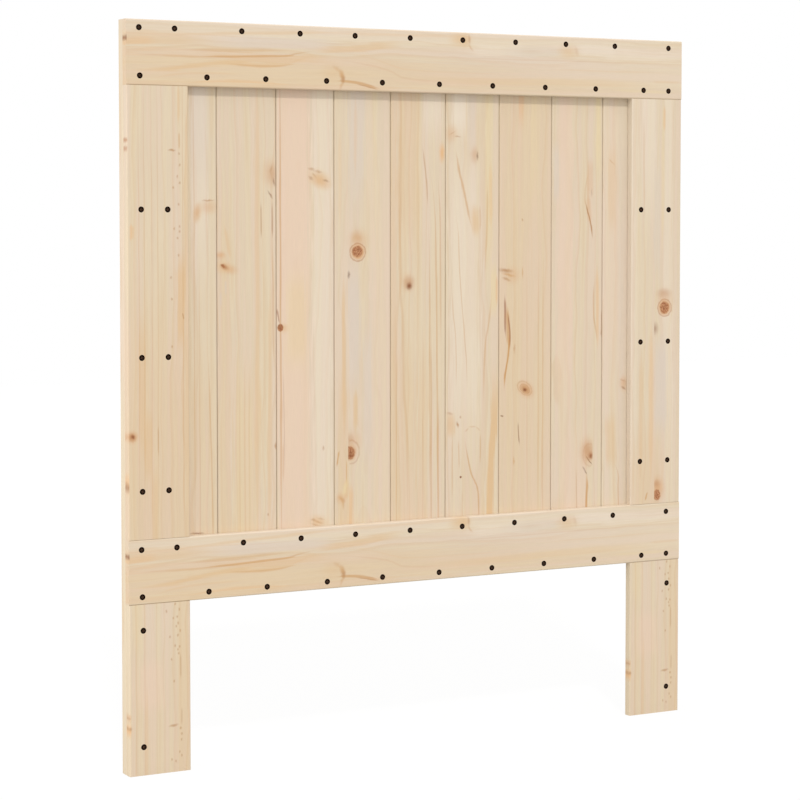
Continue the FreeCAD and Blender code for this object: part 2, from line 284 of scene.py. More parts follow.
plankFigures = [{  # 1, its left half behind the stile
    "marks": [
        ("cream", 0.44, 12, [(65, 1150), (65, 640)]),
        ("grey", 0.40, 15, [(66, 1150), (66, 790)]),
        ("tan", 0.18, 22, [(68, 620), (66, 200)]),
        ("ochre", 0.30, 0.9, [(57, 1100), (57, 200)]),
        ("ochre", 0.26, 0.9, [(65, 780), (65, 200)]),
        ("ochre", 0.34, 1.4, [(78, 600), (82, 450), (86, 250)]),
        ("straw", 0.20, 3.0, [(72, 520), (72, 200)]),
    ],
    "strokes": [
        ("haze", "tan", 0.45, 62, 783, 7, 13, 8),
        ("haze", "amber", 0.50, 62, 784, 5.0, 13, 8),
        ("haze", "amber", 0.42, 80, 792, 14, 10),
        ("haze", "brown", 0.60, 79, 801, 9, 1.2),
        ("haze", "umber", 0.70, 60, 332.4, 11, 1.3, 2),
    ],
}, {  # 2
    "marks": [
        ("brown", 0.60, 1.0, [(68, 806), (68.5, 740)]),
        ("red", 0.45, 1.1, [(85.5, 806), (86, 742)]),
        ("ochre", 0.35, 1.2, [(86, 770), (87.5, 540)]),
        ("tan", 0.40, 2.5, [(10, 772), (17, 735), (22, 712)]),
        ("grey", 0.80, 1.6, [(13, 692), (13, 664)]),
        ("grey", 0.80, 1.6, [(5, 676), (5, 648)]),
        ("tan", 0.45, 3.4, [(84, 750), (82, 600), (79, 250)]),
        ("tan", 0.22, 10, [(11, 900), (11, 150)]),
        ("tan", 0.45, 4.5, [(62, 1100), (62, 560), (60, 220)]),
        ("ochre", 0.30, 1.2, [(34, 600), (34, 250)]),
        ("ochre", 0.32, 1.2, [(42, 600), (42, 250)]),
        ("ochre", 0.26, 1.2, [(49, 600), (49, 250)]),
        ("tan", 0.18, 22, [(45, 620), (45, 200)]),
        ("straw", 0.25, 14, [(42, 600), (42, 200)]),
    ],
    "strokes": [
        ("haze", "amber", 0.38, 82, 841, 12, 20),
        ("haze", "rust", 0.28, 87, 838, 8, 15),
        ("haze", "umber", 0.50, 88.5, 828, 1.8, 6.5, -14),
        ("haze", "brown", 0.35, 84, 845, 1.6, 7, 10),
        ("haze", "umber", 0.60, 82.5, 809.5, 1.6, 6.5, -32),
        ("haze", "amber", 0.65, 5, 724, 8, 5.5),
        ("haze", "amber", 0.60, 18, 704.5, 13, 7, 12),
        ("haze", "tan", 0.60, 8, 708, 12, 10, 12),
        ("haze", "rust", 0.80, 11, 707.5, 6.5, 3.8, 25),
        ("patch", "rust", 0.90, 8.8, 708.8, 4.6, 2.6, 28),
        ("haze", "umber", 0.55, 8, 709.2, 3.2, 1.5, 28),
        ("haze", "brown", 0.70, 90.5, 450.5, 2.0, 5.0),
    ],
    "pits": [(78, 352)],
}, {  # 3
    "marks": [
        ("rose", 0.75, 26, [(28, 1250), (28, 100)]),
        ("cream", 0.44, 16, [(73, 1250), (73, 100)]),
        ("ochre", 0.55, 1.4, [(6, 1100), (6, 660), (7, 200)]),
        ("red", 0.26, 0.7, [(9, 580), (11.5, 470), (12.5, 395)]),
        ("straw", 0.38, 16, [(31, 715), (31, 545)]),
        ("tan", 0.14, 13, [(34, 700), (34, 560)]),
        ("red", 0.60, 1.1, [(5, 622), (2.5, 636), (0.5, 650)]),
        ("ochre", 0.30, 1.6, [(10, 465), (10, 390)]),
    ],
    "strokes": [
        ("haze", "tan", 0.75, 69, 832, 18, 12, 24),
        ("haze", "amber", 0.35, 70, 829, 16, 9, 24),
        ("haze", "brown", 0.32, 60, 838, 5.0, 1.7, 45),
        ("haze", "brown", 0.45, 55.5, 846.6, 5.4, 2.4, 14),
        ("haze", "brown", 0.45, 67, 843, 6.0, 2.0, 12),
        ("haze", "red", 0.38, 54.6, 833.8, 4.4, 2.2, 38),
        ("haze", "umber", 0.42, 79.0, 829.8, 5.0, 1.9, 16),
        ("haze", "tan", 0.70, 10, 619, 8, 7),
        ("core", "rust", 1.0, 5.6, 619.4, 5.0, 5.6),
        ("haze", "umber", 0.60, 4.6, 620.4, 3.2, 4.0),
        ("haze", "red", 0.45, 7.6, 618.0, 2.4, 3.0),
        ("haze", "tan", 0.70, 65, 337, 14, 9, 10),
        ("haze", "brown", 0.46, 58, 340, 4.5, 1.8, 20),
        ("haze", "brown", 0.35, 66, 336, 8, 1.5, 16),
        ("haze", "brown", 0.30, 70, 341, 6, 1.2, 16),
        ("haze", "brown", 0.40, 60, 333, 6, 1.4, 16),
        ("haze", "brown", 0.50, 74, 443.5, 1.8, 3.6),
    ],
}, {  # 4
    "marks": [
        ("orange", 0.14, 3, [(9, 930), (9, 740)]),
        ("grey", 0.60, 14, [(36, 1200), (36, 735)]),
        ("grey", 0.70, 9, [(32, 735), (32, 500)]),
        ("straw", 0.20, 9, [(60, 1100), (60, 660)]),
        ("tan", 0.30, 2.6, [(34, 970), (34, 820)]),
        ("tan", 0.60, 3.6, [(15, 720), (15, 560), (17, 430)]),
        ("tan", 0.55, 4, [(35, 535), (34, 455)]),
        ("ochre", 0.70, 1.3, [(8, 442), (5, 427), (3, 412)]),
        ("ochre", 0.55, 1.1, [(19, 432), (19, 372)]),
        ("tan", 0.50, 4, [(19, 400), (18, 362)]),
        ("orange", 0.45, 4, [(26, 400), (26, 300)]),
        ("grey", 0.50, 7, [(54, 640), (54, 390)]),
        ("tan", 0.32, 9, [(14, 600), (14, 150)]),
        ("rose", 0.25, 14, [(76, 900), (78, 200)]),
    ],
    "strokes": [
        ("haze", "amber", 0.45, 39, 742, 16, 18),
        ("haze", "ochre", 0.36, 36.5, 748.5, 9.5, 8.5),
        ("patch", "amber", 0.90, 38.0, 726.6, 12.4, 12.9),
        ("rim", "rust", 0.50, 37.8, 726.4, 12.6, 13.1),
        ("core", "rust", 1.0, 37.2, 727.8, 9.2, 8.8),
        ("haze", "umber", 0.40, 40, 730, 3.6, 2.8),
        ("haze", "umber", 0.30, 34, 724, 3.0, 2.6),
        ("haze", "dark", 0.60, 23, 694, 2.2, 5.5),
        ("haze", "amber", 0.38, 30, 452, 14, 16, 0, 21.9),
        ("haze", "rust", 0.28, 24, 454, 7, 9, 0, 21.9),
        ("patch", "amber", 0.50, 26.5, 434.5, 11.5, 14, 0, 21.9),
        ("rim", "rust", 0.30, 26.5, 435.5, 13.5, 17, 0, 24),
        ("core", "rust", 1.0, 24.2, 434.0, 9.4, 10.4, 0, 21.9),
        ("haze", "umber", 0.55, 26.0, 432, 4, 6, 0, 21.9),
        ("haze", "amber", 0.50, 10, 369, 8, 8),
        ("haze", "ochre", 0.45, 11.5, 367, 7, 3.0, 40),
        ("haze", "ochre", 0.40, 13.5, 360, 2.0, 8),
        ("haze", "straw", 0.80, 17, 384, 4.0, 13, 14),
    ],
}, {  # 5
    "marks": [
        ("tan", 0.28, 20, [(30, 1100), (30, 680)]),
        ("tan", 0.20, 18, [(24, 640), (24, 150)]),
        ("cream", 0.44, 15, [(70, 1100), (68, 875)]),
        ("tan", 0.28, 6, [(4, 1200), (4, 100)]),
        ("tan", 0.26, 9, [(54, 640), (54, 120)]),
        ("brown", 0.42, 1.1, [(51, 895), (55, 864), (58, 840), (60, 820), (61.5, 780)]),
        ("ochre", 0.40, 1.4, [(61.5, 810), (63, 760), (65, 700), (66, 500), (68, 250)]),
        ("ochre", 0.40, 1.5, [
            (60, 900), (63, 860), (68, 830), (72, 800), (76, 700), (78, 520), (80, 250)]),
        ("ochre", 0.35, 1.4, [(76, 862), (80, 820), (82, 780), (84, 560)]),
        ("ochre", 0.26, 2.4, [
            (17, 1100), (16, 800), (15, 700), (19, 630), (22, 520), (27, 440), (27, 250)]),
        ("ochre", 0.28, 0.9, [(54, 680), (54, 250)]),
        ("ochre", 0.42, 1.0, [(68, 650), (69, 250)]),
        ("ochre", 0.35, 1.6, [(80, 540), (80, 250)]),
        ("ochre", 0.28, 1.3, [(7, 660), (9, 500), (9, 250)]),
    ],
    "strokes": [
        ("haze", "orange", 0.78, 86, 872, 4.6, 14),
        ("haze", "amber", 0.35, 28, 682, 12, 14),
        ("haze", "rust", 0.52, 30.0, 680, 8.5, 10.5),
        ("haze", "umber", 0.95, 30.4, 676.2, 4.4, 5.2),
    ],
}, {  # 6
    "marks": [
        ("cream", 0.66, 13, [(25, 1040), (24, 880)]),
        ("grey", 0.35, 7, [(44, 990), (44, 860)]),
        ("cream", 0.44, 26, [(31, 930), (33, 380)]),
        ("ochre", 0.48, 2.0, [
            (15, 888), (19, 864), (24, 840), (30, 820), (36, 794), (42, 770), (50, 750)]),
        ("tan", 0.30, 5.5, [(52, 800), (52, 745)]),
        ("ochre", 0.30, 1.3, [(58, 800), (59, 770), (57, 752)]),
        ("orange", 0.45, 3.5, [(77, 870), (77, 750)]),
        ("straw", 0.45, 6, [(74, 1050), (74, 640)]),
        ("ochre", 0.30, 1.5, [(73, 850), (70, 760), (66, 670)]),
        ("ochre", 0.32, 0.9, [(9, 700), (12, 640), (17, 589), (18, 500)]),
        ("ochre", 0.36, 0.9, [
            (13, 820), (17, 780), (21, 750), (23, 700), (28, 640), (32, 600), (36, 549), (37, 480)]),
        ("ochre", 0.34, 1.5, [(82, 690), (75, 623), (68, 579), (65, 480)]),
        ("straw", 0.60, 5, [(83, 715), (82, 620)]),
        ("orange", 0.40, 2.6, [(88, 696), (88, 640)]),
        ("tan", 0.80, 6, [(86, 570), (84, 480), (81, 440), (78, 400), (74, 220)]),
        ("tan", 0.45, 6, [(9, 490), (9, 445)]),
        ("ochre", 0.50, 1.4, [
            (32, 457), (35, 434), (39, 414), (44, 394), (51, 380), (56, 366), (57, 345), (57, 300)]),
        ("ochre", 0.38, 1.3, [(59, 460), (60, 432), (59, 400)]),
        ("ochre", 0.34, 1.0, [(12, 470), (11, 340)]),
        ("ochre", 0.30, 1.0, [(22, 450), (24, 395)]),
        ("ochre", 0.26, 1.2, [(29, 384), (29, 290)]),
    ],
    "strokes": [
        ("haze", "amber", 0.38, 9, 901, 11, 13, 10),
        ("haze", "brown", 0.45, 20, 897, 6, 1.2, 4),
        ("haze", "brown", 0.30, 11, 902, 6, 1.2, -30),
        ("haze", "amber", 0.35, 49.5, 870, 7, 12),
        ("haze", "red", 0.12, 49.5, 870, 7, 12),
        ("haze", "dark", 0.60, 54, 868.6, 1.6, 6),
        ("haze", "brown", 0.40, 7, 485, 5.5, 2.0, 10),
        ("haze", "amber", 0.15, 9, 468, 8, 10),
        ("haze", "tan", 0.45, 50, 770, 8, 22, -10),
        ("haze", "brown", 0.80, 20.4, 468, 2.0, 4.6, -14),
        ("haze", "ochre", 0.32, 36.5, 459.5, 4.5, 1.3, -40),
        ("haze", "ochre", 0.32, 46.5, 463.6, 6.5, 1.3),
        ("haze", "ochre", 0.32, 56, 460, 4.5, 1.3, 38),
        ("patch", "umber", 0.95, 25.6, 388.6, 2.1, 2.3),
    ],
    "pits": [(25, 479)],
}, {  # 7
    "marks": [
        ("tan", 0.22, 60, [(46, 1300), (46, 0)]),
        ("orange", 0.38, 5, [(38, 1050), (38, 900)]),
        ("straw", 0.30, 6, [(60, 1050), (60, 760)]),
        ("red", 0.72, 1.4, [(9, 668), (10.5, 640), (10.5, 610), (12, 588)]),
        ("ochre", 0.60, 3.6, [(13, 650), (16, 610), (17, 572)]),
        ("red", 0.72, 1.3, [(12, 640), (18.2, 610), (18.8, 596), (17, 570)]),
        ("ochre", 0.85, 1.7, [(18, 612), (16.5, 575), (12.5, 550), (9.5, 530), (9, 508)]),
        ("umber", 0.65, 1.0, [(33, 472), (34, 450), (36.5, 428)]),
        ("ochre", 0.24, 1.4, [(69, 780), (69, 250)]),
        ("ochre", 0.24, 1.4, [(77, 780), (77, 250)]),
        ("ochre", 0.20, 1.0, [(48, 780), (50, 250)]),
    ],
    "strokes": [
        ("haze", "amber", 0.36, 22, 690, 14, 13),
        ("haze", "brown", 0.72, 11, 697, 12, 3.2, 6),
        ("haze", "ochre", 0.55, 16, 690.5, 11, 2.2, 14),
        ("haze", "brown", 0.55, 12.5, 684, 7.5, 2.2, 18),
        ("haze", "rust", 0.40, 27, 579, 1.8, 6.5),
        ("haze", "amber", 0.92, 46.5, 516.5, 15, 10.5, 34),
        ("rim", "brown", 0.25, 45.0, 518, 14.0, 9.0, 34),
        ("rim", "brown", 0.32, 45.2, 517, 9.0, 6.0, 34),
        ("haze", "brown", 0.70, 46, 516, 8.0, 5.4, 34),
        ("haze", "umber", 0.95, 45, 515.8, 3.2, 3.0),
        ("haze", "umber", 0.80, 5, 477.6, 2.8, 1.3, 10),
        ("haze", "ochre", 0.50, 26, 408.5, 1.6, 6.5),
        ("haze", "ochre", 0.45, 41, 693.6, 1.4, 9),
    ],
    "pits": [(40, 773)],
}, {  # 8
    "marks": [
        ("rose", 0.55, 14, [(24, 1150), (24, 400)]),
        ("grey", 0.55, 5, [(8, 900), (8, 790)]),
        ("straw", 0.60, 5, [(84, 1100), (85, 800)]),
        ("orange", 0.40, 3, [(82, 720), (84, 560)]),
        ("amber", 0.28, 5.6, [(69, 872), (68, 800)]),
        ("amber", 0.36, 4.6, [(65, 816), (69, 762)]),
        ("ochre", 0.24, 1.2, [(68, 850), (61, 822), (60, 806), (62, 786)]),
        ("brown", 0.80, 1.3, [(59, 808), (64, 788), (70, 768), (75, 738)]),
        ("ochre", 0.40, 1.5, [(79, 690), (76, 640), (80, 606), (85, 575)]),
        ("brown", 0.60, 1.1, [(91, 640), (91, 588)]),
        ("dark", 0.75, 1.5, [(62, 412), (70, 401), (77, 394)]),
        ("dark", 0.65, 1.4, [(56, 396), (61, 388), (66, 379)]),
        ("ochre", 0.80, 2.2, [(62, 390), (65.5, 368), (64.5, 348), (63, 300)]),
        ("brown", 0.55, 1.0, [(42, 402), (45.5, 378), (46, 358), (46, 300)]),
        ("rose", 0.40, 24, [(40, 480), (40, 200)]),
    ],
    "strokes": [
        ("haze", "dark", 0.22, 72, 815, 1.4, 6),
        ("haze", "brown", 0.50, 91, 599, 1.8, 5.5),
        ("haze", "amber", 0.60, 66, 416, 13, 22, 0, -75.6),
        ("haze", "rust", 0.38, 67, 417, 11, 15, 0, -75.6),
        ("rim", "rust", 0.16, 70, 411, 12, 17, 0, -74),
        ("haze", "rust", 0.85, 72, 409.5, 5.0, 6.5, 0, -75.6),
        ("haze", "umber", 0.65, 72.5, 408.5, 3.0, 3.4, 0, -75.6),
    ],
}, {  # 9, its right half behind the stile
    "marks": [
        ("rose", 0.30, 14, [(14, 1050), (14, 450)]),
        ("cream", 0.14, 30, [(18, 1300), (18, 0)]),
        ("tan", 0.34, 7, [(17, 900), (17, 740)]),
        ("grey", 0.25, 8, [(38, 1150), (38, 150)]),
        ("ochre", 0.38, 1.3, [(1, 404), (16, 400), (26, 390), (30, 378), (30, 358), (32, 300)]),
        ("tan", 0.40, 9, [(16, 480), (16, 380)]),
    ],
    "strokes": [
        ("haze", "amber", 0.50, 40, 519, 8, 12),
        ("haze", "rust", 0.35, 38, 524, 6, 1.8, 20),
        ("haze", "umber", 0.50, 40, 512, 5.5, 1.8, 32),
        ("haze", "ochre", 0.35, 16, 862, 7, 1.3, 38),
    ],
}]

# The posts show only an edge, so their figure is a plain one.
postFigure = {
    "marks": [
        ("tan", 0.25, 8, [(12, 1300), (16, -250)]),
        ("ochre", 0.20, 1.2, [(30, 1300), (28, -250)]),
    ],
    "strokes": [],
}

pine = {
    # Colours that a slow noise picks from, for the soft bands along the grain
    "bands": [
        (0.30, "#dfccb5", 1), (0.42, "#e1ccb4", 1), (0.50, "#decbb0", 1), (0.58, "#e1cfb2", 1),
        (0.70, "#ddc8a8", 1),
    ],
    # Sizes of the patterns across, through and along the board
    "bandSize": (13.0, 40.0, 420.0),
    "fibreSize": (0.55, 1.0, 22.0),  # the finest grain that still shows
    "fraySize": (2.4, 9.0, 60.0),
    "mottleSize": (2.2, 8.0, 2.8),
    "unsteadySize": (6.0, 8.0, 7.0),
    "driftScale": (0.012, 0.012, 0.006),  # one over the size
    "wobble": 1.6,  # how far the grain wanders
    "ringWidth": 5.2,  # one year's growth across the board
    "ringWaviness": 14.0,
    "ringUnevenness": 1.6,  # by how many years a ring may be fat or thin
    "ringChange": 0.7,  # how often that turns, per year
    "latewood": "#d6b389",
    "latewoodFrom": 0.35,  # parts of a year
    "latewoodPeak": 0.93,
    "latewoodCover": 0.36,
    "latewoodRise": 0.6,  # against a fibre's, in the relief
    "fibreRange": (0.25, 0.75),
    "fibreShade": (0.955, 1.035),
    "knotWood": [(0.34, "#8a4e2a", 1), (0.50, "#b2784e", 1), (0.66, "#cf9b70", 1)],
    "knotReach": (3.0, 4.5),  # how far it pushes the grain, in its own half widths across and along
    "knotPush": 2.2,
    "knotDeep": 1000.0,  # a knot and a stroke go through the board
    "strokeDeep": 400.0,
    "shake": 4.0,  # how far a knot's outline strays
    "flatEdge": 0.5,  # a stroke's flat side is this soft each way
    "pitSize": (1.5, 2.2),
    "pitCover": 0.52,
    "fray": (0.6, 1.4),
    "lineWidest": 4.8,  # half width; a wider mark is a band
    "lineEdge": (0.2, 1.5),  # where cover holds and where it ends, in half widths
    "bandEdge": (0.6, 1.3),
    "fadeFrom": 0.2,  # part of a mark's length, from its middle
    "fadeTo": 0.04,
    "routeMargin": 1.0,
    "sawn": "#c9a277",  # sawn ends drink the light
    "sawnCover": 0.18,
    "sawnFacing": (0.6, 0.9),  # how straight a face looks along the grain
    "thrown": "#cbc9c6",  # what the light that one board throws on another is mixed with
    "thrownCover": 0.4,
    "roughness": (0.53, 0.65),
    "ior": 1.5,
    "reliefDepth": 0.12,  # latewood stands this proud after planing
    "reliefStrength": 0.35,
}


def startMaterial(name):
    # An empty material, and the function that adds its nodes
    material = bpy.data.materials.new(name)
    material.use_nodes = True
    material.node_tree.nodes.clear()
    return material, functools.partial(addNode, material.node_tree)


def noiseScale(size):
    # What a Mapping node needs for a pattern of this size in millimetres
    return tuple(1 / part for part in size)


def pineMaterial(name, node, lengthwise, figure, pith, lift, seed):
    # Planed pine for one board: pith is where the tree's centre lay, across and behind the board's face
    material, add = startMaterial(name)
    lowest = Vector(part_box(node)[0]) / millimetre
    origin = Vector((lowest.x, lowest.y, lowest.z if lengthwise == "x" else 0.0))
    seen = add("TexCoord")
    board = add("Mapping", {
        "Vector": seen.outputs["Object"], "Location": -origin, "Scale": noiseScale([millimetre] * 3)})
    if lengthwise == "x":  # a rail's own axes are turned, so that 'along' always comes third
        parts = add("SeparateXYZ", {0: board})
        raised = add("Math", {0: parts.outputs["Z"], 1: -lift}, operation="ADD")
        board = add("CombineXYZ", {0: raised, 1: parts.outputs["Y"], 2: parts.outputs["X"]})

    # The grain wanders a little from a straight line
    slow = add("Mapping", {
        "Vector": board, "Scale": pine["driftScale"], "Location": (seed, seed * 2, seed * 3)})
    drift = add("TexNoise", {"Vector": slow, "Scale": 1.0, "Detail": 2.0})
    shifted = add("VectorMath", {0: drift.outputs["Color"], 1: noiseMiddle}, operation="SUBTRACT")
    wander = (pine["wobble"] * 2, 0.0, 0.0)
    wobble = add("VectorMath", {0: shifted, 1: wander}, operation="MULTIPLY")
    place = add("VectorMath", {0: board, 1: wobble}, operation="ADD")

    # Knots push the grain aside, so that the year lines flow round them
    flow = place
    reach = pine["knotReach"]
    for shape, tint, cover, x, z, halfWidth, halfHeight, *rest in figure["strokes"]:
        if shape != "core":
            continue
        across, along, reachAcross, reachAlong = turnedToGrain(lengthwise, x, z, halfWidth, halfHeight)
        local = add("Mapping", {
            "Vector": flow, "Location": (across, 0, along),
            "Scale": (reachAcross * reach[0], pine["knotDeep"], reachAlong * reach[1])},
            vector_type="TEXTURE")
        distance = add("VectorMath", {0: local}, operation="LENGTH")
        push = add("MapRange", {0: distance, 1: 0.0, 2: 1.0, 3: reachAcross * pine["knotPush"], 4: 0.0},
                   interpolation_type="SMOOTHERSTEP")
        scaled = add("VectorMath", {0: local, "Scale": push}, operation="SCALE")
        sideways = add("VectorMath", {0: scaled, 1: (-1.0, 0.0, 0.0)}, operation="MULTIPLY")
        flow = add("VectorMath", {0: flow, 1: sideways}, operation="ADD")

    # Year rings round the pith, as lines on the faces and as arcs on the sawn ends
    wavy = (pine["ringWaviness"], pine["ringWaviness"], 0.0)
    waviness = add("VectorMath", {0: shifted, 1: wavy}, operation="MULTIPLY")
    bent = add("VectorMath", {0: flow, 1: waviness}, operation="ADD")
    section = add("VectorMath", {0: bent, 1: (1.0, 1.0, 0.0)}, operation="MULTIPLY")
    radius = add("VectorMath", {0: section, 1: (*pith, 0.0)}, operation="DISTANCE")
    years = add("Math", {0: radius, 1: pine["ringWidth"]}, operation="DIVIDE")
    uneven = add("TexNoise", {"W": years, "Scale": pine["ringChange"], "Detail": 1.0},
                 noise_dimensions="1D")
    year = add("Math", {0: uneven, 1: pine["ringUnevenness"], 2: years}, operation="MULTIPLY_ADD")
    season = add("Math", {0: year}, operation="FRACT")
    whole = add("Math", {0: year}, operation="FLOOR")
    strong = add("TexWhiteNoise", {"W": whole}, noise_dimensions="1D")
    late = add("MapRange", {
        0: season, 1: pine["latewoodFrom"], 2: pine["latewoodPeak"], 3: 0.0, 4: 1.0},
        interpolation_type="SMOOTHSTEP")
    fade = add("MapRange", {0: season, 1: pine["latewoodPeak"], 2: 1.0, 3: 1.0, 4: 0.0},
               interpolation_type="SMOOTHSTEP")
    line = add("Math", {0: late, 1: fade}, operation="MULTIPLY")
    yearLine = add("Math", {0: line, 1: strong.outputs["Value"]}, operation="MULTIPLY")

    # Soft bands of colour along the grain, then the year lines over them
    bands = add("Mapping", {
        "Vector": flow, "Scale": noiseScale(pine["bandSize"]), "Location": (seed * 5, seed, seed * 7)})
    warm = add("TexNoise", {"Vector": bands, "Scale": 1.0, "Detail": 2.0, "Roughness": 0.55})
    colour = add("ValToRGB", {0: warm}, stops=pine["bands"])
    lineCover = add("Math", {0: yearLine, 1: pine["latewoodCover"]}, operation="MULTIPLY")
    colour = add("Mix", {
        mixFactor: lineCover, mixFirst: colour, mixSecond: hexColour(pine["latewood"])},
        data_type="RGBA")

    # The marks that this board's figure lists, their edges frayed along the grain
    fraying = add("Mapping", {
        "Vector": board, "Scale": noiseScale(pine["fraySize"]), "Location": (seed, seed, seed)})
    frayNoise = add("TexNoise", {"Vector": fraying, "Scale": 1.0, "Detail": 3.0})
    least, most = pine["fray"]
    frayed = add("MapRange", {0: frayNoise, 1: noiseLow, 2: noiseHigh, 3: least, 4: most})
    axes = add("SeparateXYZ", {0: place})
    for mark in figure["marks"]:
        colour = drawMark(add, axes, colour, mark, lengthwise, frayed)

    # Knots and pits, their outlines unsteady
    unsteady = add("Mapping", {
        "Vector": board, "Scale": noiseScale(pine["unsteadySize"]), "Location": (seed, 0, 0)})
    unsteadyNoise = add("TexNoise", {
        "Vector": unsteady, "Scale": 1.0, "Detail": 3.0, "Roughness": 0.65})
    centred = add("VectorMath", {0: unsteadyNoise.outputs["Color"], 1: noiseMiddle},
                  operation="SUBTRACT")
    stray = (pine["shake"], 0.0, pine["shake"])
    shake = add("VectorMath", {0: centred, 1: stray}, operation="MULTIPLY")
    shaken = add("VectorMath", {0: board, 1: shake}, operation="ADD")
    mottle = add("Mapping", {"Vector": shaken, "Scale": noiseScale(pine["mottleSize"])})
    mottled = add("TexNoise", {"Vector": mottle, "Scale": 1.0, "Detail": 3.0, "Roughness": 0.6})
    knotWood = add("ValToRGB", {0: mottled}, stops=pine["knotWood"])
    pits = figure.get("pits", [])
    pitStrokes = [("haze", "brown", pine["pitCover"], x, z, *pine["pitSize"]) for x, z in pits]
    for stroke in figure["strokes"] + pitStrokes:
        colour = drawStroke(add, shaken, board, colour, stroke, lengthwise, knotWood)

    # Fibres
    fine = add("Mapping", {"Vector": flow, "Scale": noiseScale(pine["fibreSize"])})
    fibre = add("TexNoise", {"Vector": fine, "Scale": 1.0, "Detail": 3.0, "Roughness": 0.6})
    (low, high), (darkest, palest) = pine["fibreRange"], pine["fibreShade"]
    fibreShade = add("MapRange", {0: fibre, 1: low, 2: high, 3: darkest, 4: palest})
    colour = add("Mix", {mixFactor: 1.0, mixFirst: colour, mixSecond: fibreShade},
                 data_type="RGBA", blend_type="MULTIPLY")

    # Sawn ends: the faces that look along the grain
    normal = add("SeparateXYZ", {0: seen.outputs["Normal"]})
    facing = add("Math", {0: normal.outputs["X" if lengthwise == "x" else "Z"]}, operation="ABSOLUTE")
    askew, straight = pine["sawnFacing"]
    endGrain = add("MapRange", {0: facing, 1: askew, 2: straight, 3: 0.0, 4: pine["sawnCover"]})
    colour = add("Mix", {mixFactor: endGrain, mixFirst: colour, mixSecond: hexColour(pine["sawn"])},
                 data_type="RGBA")

    # A pale room's light keeps its own colour between the boards
    rays = add("LightPath")
    thrown = add("Math", {0: rays.outputs["Is Diffuse Ray"], 1: pine["thrownCover"]},
                 operation="MULTIPLY")
    colour = add("Mix", {mixFactor: thrown, mixFirst: colour, mixSecond: hexColour(pine["thrown"])},
                 data_type="RGBA")

    height = add("Math", {0: yearLine, 1: pine["latewoodRise"], 2: fibre}, operation="MULTIPLY_ADD")
    relief = add("Bump", {
        "Height": height, "Strength": pine["reliefStrength"],
        "Distance": pine["reliefDepth"] * millimetre})
    smoothest, roughest = pine["roughness"]
    dull = add("MapRange", {0: fibre, 1: noiseLow, 2: noiseHigh, 3: smoothest, 4: roughest})
    wood = add("BsdfPrincipled", {
        "Base Color": colour, "Roughness": dull, "Normal": relief, "IOR": pine["ior"]})
    add("OutputMaterial", {"Surface": wood})
    return material


def turnedToGrain(lengthwise, x, z, halfWidth, halfHeight):
    # Across and along the grain, for an upright board or for a rail
    if lengthwise == "x":
        return z, x, halfHeight, halfWidth
    return x, z, halfWidth, halfHeight


def drawMark(add, axes, colour, mark, lengthwise, frayed):
    # One band or line of colour that runs along the grain, through the points of its route
    tint, strength, half, route = mark
    points = [(z, x) if lengthwise == "x" else (x, z) for x, z in route]  # across, along
    points.sort(key=lambda point: point[1])
    first, last = points[0][1], points[-1][1]
    length = last - first
    if len(points) == 2:
        centre = add("MapRange", {
            0: axes.outputs["Z"], 1: first, 2: last, 3: points[0][0], 4: points[1][0]})
    else:
        low = min(across for across, along in points) - pine["routeMargin"]
        high = max(across for across, along in points) + pine["routeMargin"]
        run = add("MapRange", {0: axes.outputs["Z"], 1: first, 2: last, 3: 0.0, 4: 1.0})
        shape = [((along - first) / length, (across - low) / (high - low)) for across, along in points]
        bend = add("FloatCurve", {"Value": run}, route=shape)
        centre = add("MapRange", {0: bend, 1: 0.0, 2: 1.0, 3: low, 4: high})
    aside = add("Math", {0: axes.outputs["X"], 1: centre}, operation="SUBTRACT")
    apart = add("Math", {0: aside}, operation="ABSOLUTE")
    fromMiddle = add("Math", {0: axes.outputs["Z"], 1: (first + last) / 2}, operation="SUBTRACT")
    outward = add("Math", {0: fromMiddle}, operation="ABSOLUTE")
    ends = add("MapRange", {
        0: outward, 1: length * pine["fadeFrom"], 2: length / 2, 3: 1.0, 4: pine["fadeTo"]},
        interpolation_type="SMOOTHSTEP")
    edge = add("Math", {0: apart, 1: frayed}, operation="MULTIPLY")
    holds, stops = pine["bandEdge"]
    if half < pine["lineWidest"]:  # a line tapers to its ends
        edge = add("Math", {0: edge, 1: ends}, operation="DIVIDE")
        holds, stops = pine["lineEdge"]
    cover = add("MapRange", {0: edge, 1: half * holds, 2: half * stops, 3: strength, 4: 0.0},
                interpolation_type="SMOOTHSTEP")
    amount = add("Math", {0: cover, 1: ends}, operation="MULTIPLY")
    return add("Mix", {mixFactor: amount, mixFirst: colour, mixSecond: hexColour(pineTints[tint])},
               data_type="RGBA")


